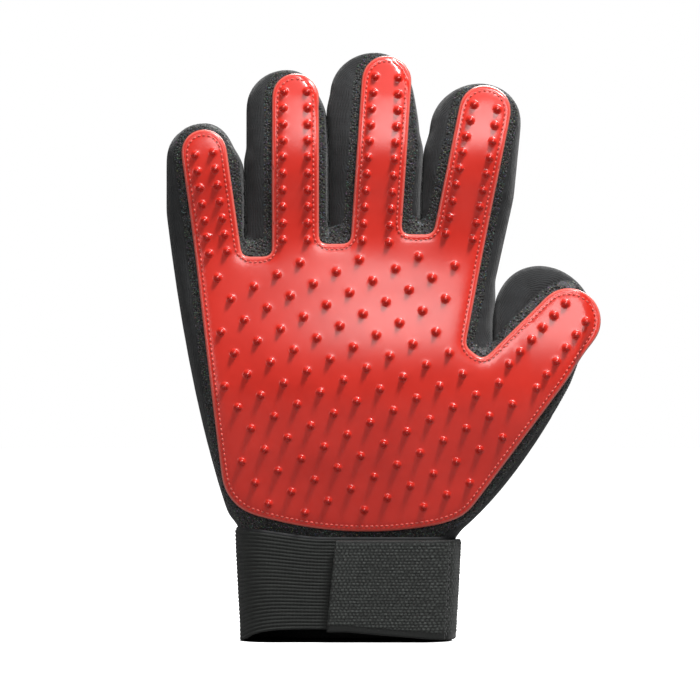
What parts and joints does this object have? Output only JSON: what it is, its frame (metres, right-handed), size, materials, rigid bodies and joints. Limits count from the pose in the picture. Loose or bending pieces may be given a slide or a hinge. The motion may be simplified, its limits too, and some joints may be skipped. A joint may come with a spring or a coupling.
{
  "type": "grooming glove",
  "caption": "Right-hand fabric glove with a nubbed rubber pad over the palm and fingers, an elastic cuff and a hook-and-loop wrist strap, for grooming pets.",
  "frame": {"origin": "centre of the wrist opening, in the plane of the cuff's rim", "axes": "+Z from the cuff to the fingertips, -Y the way the palm side faces, +X towards the thumb"},
  "size_m": [0.1737, 0.0315, 0.236],
  "materials": {
    "air_mesh": "open spacer mesh, matte with a slight sparkle",
    "knit": "fine ribbed knit, matte",
    "back_fabric": "soft stretch mesh, matte",
    "rubber_pad": "smooth moulded rubber, satin",
    "red_thread": "sewing thread",
    "ribbed_elastic": "ribbed woven elastic, matte",
    "strap_webbing": "pebbled woven webbing, matte",
    "loop_tape": "brushed loop pile",
    "hook_tape": "fine plastic hooks"
  },
  "bodies": {
    "hand": {"palm_mesh": "air_mesh", "back_panel": "back_fabric", "little_side_panel": "knit", "thumb_side_panel": "knit", "thumb_crotch_panel": "knit", "finger_webs": "knit", "palm_pad": "rubber_pad", "pad_stitches": "red_thread", "wrist_seam": "knit", "cuff_elastic": "ribbed_elastic", "loop_patch": "loop_tape", "strap_anchor": "strap_webbing"},
    "strap": {"strap_tab": "strap_webbing", "strap_selvedge": "strap_webbing", "hook_patch": "hook_tape"},
    "little_base": {"little_base_back": "back_fabric", "little_base_mesh": "air_mesh", "little_base_sides": "knit", "little_base_pad": "rubber_pad"},
    "little_tip": {"little_tip_back": "back_fabric", "little_tip_mesh": "air_mesh", "little_tip_sides": "knit", "little_tip_pad": "rubber_pad"},
    "ring_base": {"ring_base_back": "back_fabric", "ring_base_mesh": "air_mesh", "ring_base_sides": "knit", "ring_base_pad": "rubber_pad"},
    "ring_tip": {"ring_tip_back": "back_fabric", "ring_tip_mesh": "air_mesh", "ring_tip_sides": "knit", "ring_tip_pad": "rubber_pad"},
    "middle_base": {"middle_base_back": "back_fabric", "middle_base_mesh": "air_mesh", "middle_base_sides": "knit", "middle_base_pad": "rubber_pad"},
    "middle_tip": {"middle_tip_back": "back_fabric", "middle_tip_mesh": "air_mesh", "middle_tip_sides": "knit", "middle_tip_pad": "rubber_pad"},
    "index_base": {"index_base_back": "back_fabric", "index_base_mesh": "air_mesh", "index_base_sides": "knit", "index_base_pad": "rubber_pad"},
    "index_tip": {"index_tip_back": "back_fabric", "index_tip_mesh": "air_mesh", "index_tip_sides": "knit", "index_tip_pad": "rubber_pad"},
    "thumb_base": {"thumb_base_back": "back_fabric", "thumb_base_mesh": "air_mesh", "thumb_base_sides": "knit", "thumb_base_pad": "rubber_pad"},
    "thumb_tip": {"thumb_tip_back": "back_fabric", "thumb_tip_mesh": "air_mesh", "thumb_tip_sides": "knit", "thumb_tip_pad": "rubber_pad"}
  },
  "joints": [
    {"name": "little_base_bend", "type": "hinge", "parent": "hand", "child": "little_base", "pos_m": [-0.0565, -0.0136, 0.17152], "axis": [1, 0, 0], "range_deg": [0, 65]},
    {"name": "little_tip_bend", "type": "hinge", "parent": "little_base", "child": "little_tip", "pos_m": [-0.0565, -0.0136, 0.19113], "axis": [1, 0, 0], "range_deg": [0, 65]},
    {"name": "ring_base_bend", "type": "hinge", "parent": "hand", "child": "ring_base", "pos_m": [-0.02375, -0.0136, 0.1766], "axis": [1, 0, 0], "range_deg": [0, 65]},
    {"name": "ring_tip_bend", "type": "hinge", "parent": "ring_base", "child": "ring_tip", "pos_m": [-0.02375, -0.0136, 0.203], "axis": [1, 0, 0], "range_deg": [0, 65]},
    {"name": "middle_base_bend", "type": "hinge", "parent": "hand", "child": "middle_base", "pos_m": [0.01155, -0.0136, 0.17603], "axis": [1, 0, 0], "range_deg": [0, 65]},
    {"name": "middle_tip_bend", "type": "hinge", "parent": "middle_base", "child": "middle_tip", "pos_m": [0.01155, -0.0136, 0.20896], "axis": [1, 0, 0], "range_deg": [0, 65]},
    {"name": "index_base_bend", "type": "hinge", "parent": "hand", "child": "index_base", "pos_m": [0.04905, -0.0136, 0.17772], "axis": [1, 0, 0], "range_deg": [0, 65]},
    {"name": "index_tip_bend", "type": "hinge", "parent": "index_base", "child": "index_tip", "pos_m": [0.0516, -0.0136, 0.20359], "axis": [1, 0, 0], "range_deg": [0, 65]},
    {"name": "thumb_base_bend", "type": "hinge", "parent": "hand", "child": "thumb_base", "pos_m": [0.07462, -0.0136, 0.1153], "axis": [0.7501, 0, -0.6613], "range_deg": [0, 50]},
    {"name": "thumb_tip_bend", "type": "hinge", "parent": "thumb_base", "child": "thumb_tip", "pos_m": [0.08335, -0.0136, 0.1252], "axis": [0.7501, 0, -0.6613], "range_deg": [0, 55]},
    {"name": "strap_peel", "type": "hinge", "parent": "hand", "child": "strap", "pos_m": [0.036, -0.01625, 0.02], "axis": [0, 0, 1], "range_deg": [0, 150]}
  ],
  "couplings": [
    {"joint": "little_tip_bend", "follows": "little_base_bend", "ratio": 1},
    {"joint": "ring_tip_bend", "follows": "ring_base_bend", "ratio": 1},
    {"joint": "middle_tip_bend", "follows": "middle_base_bend", "ratio": 1},
    {"joint": "index_tip_bend", "follows": "index_base_bend", "ratio": 1},
    {"joint": "thumb_tip_bend", "follows": "thumb_base_bend", "ratio": 1.1}
  ]
}
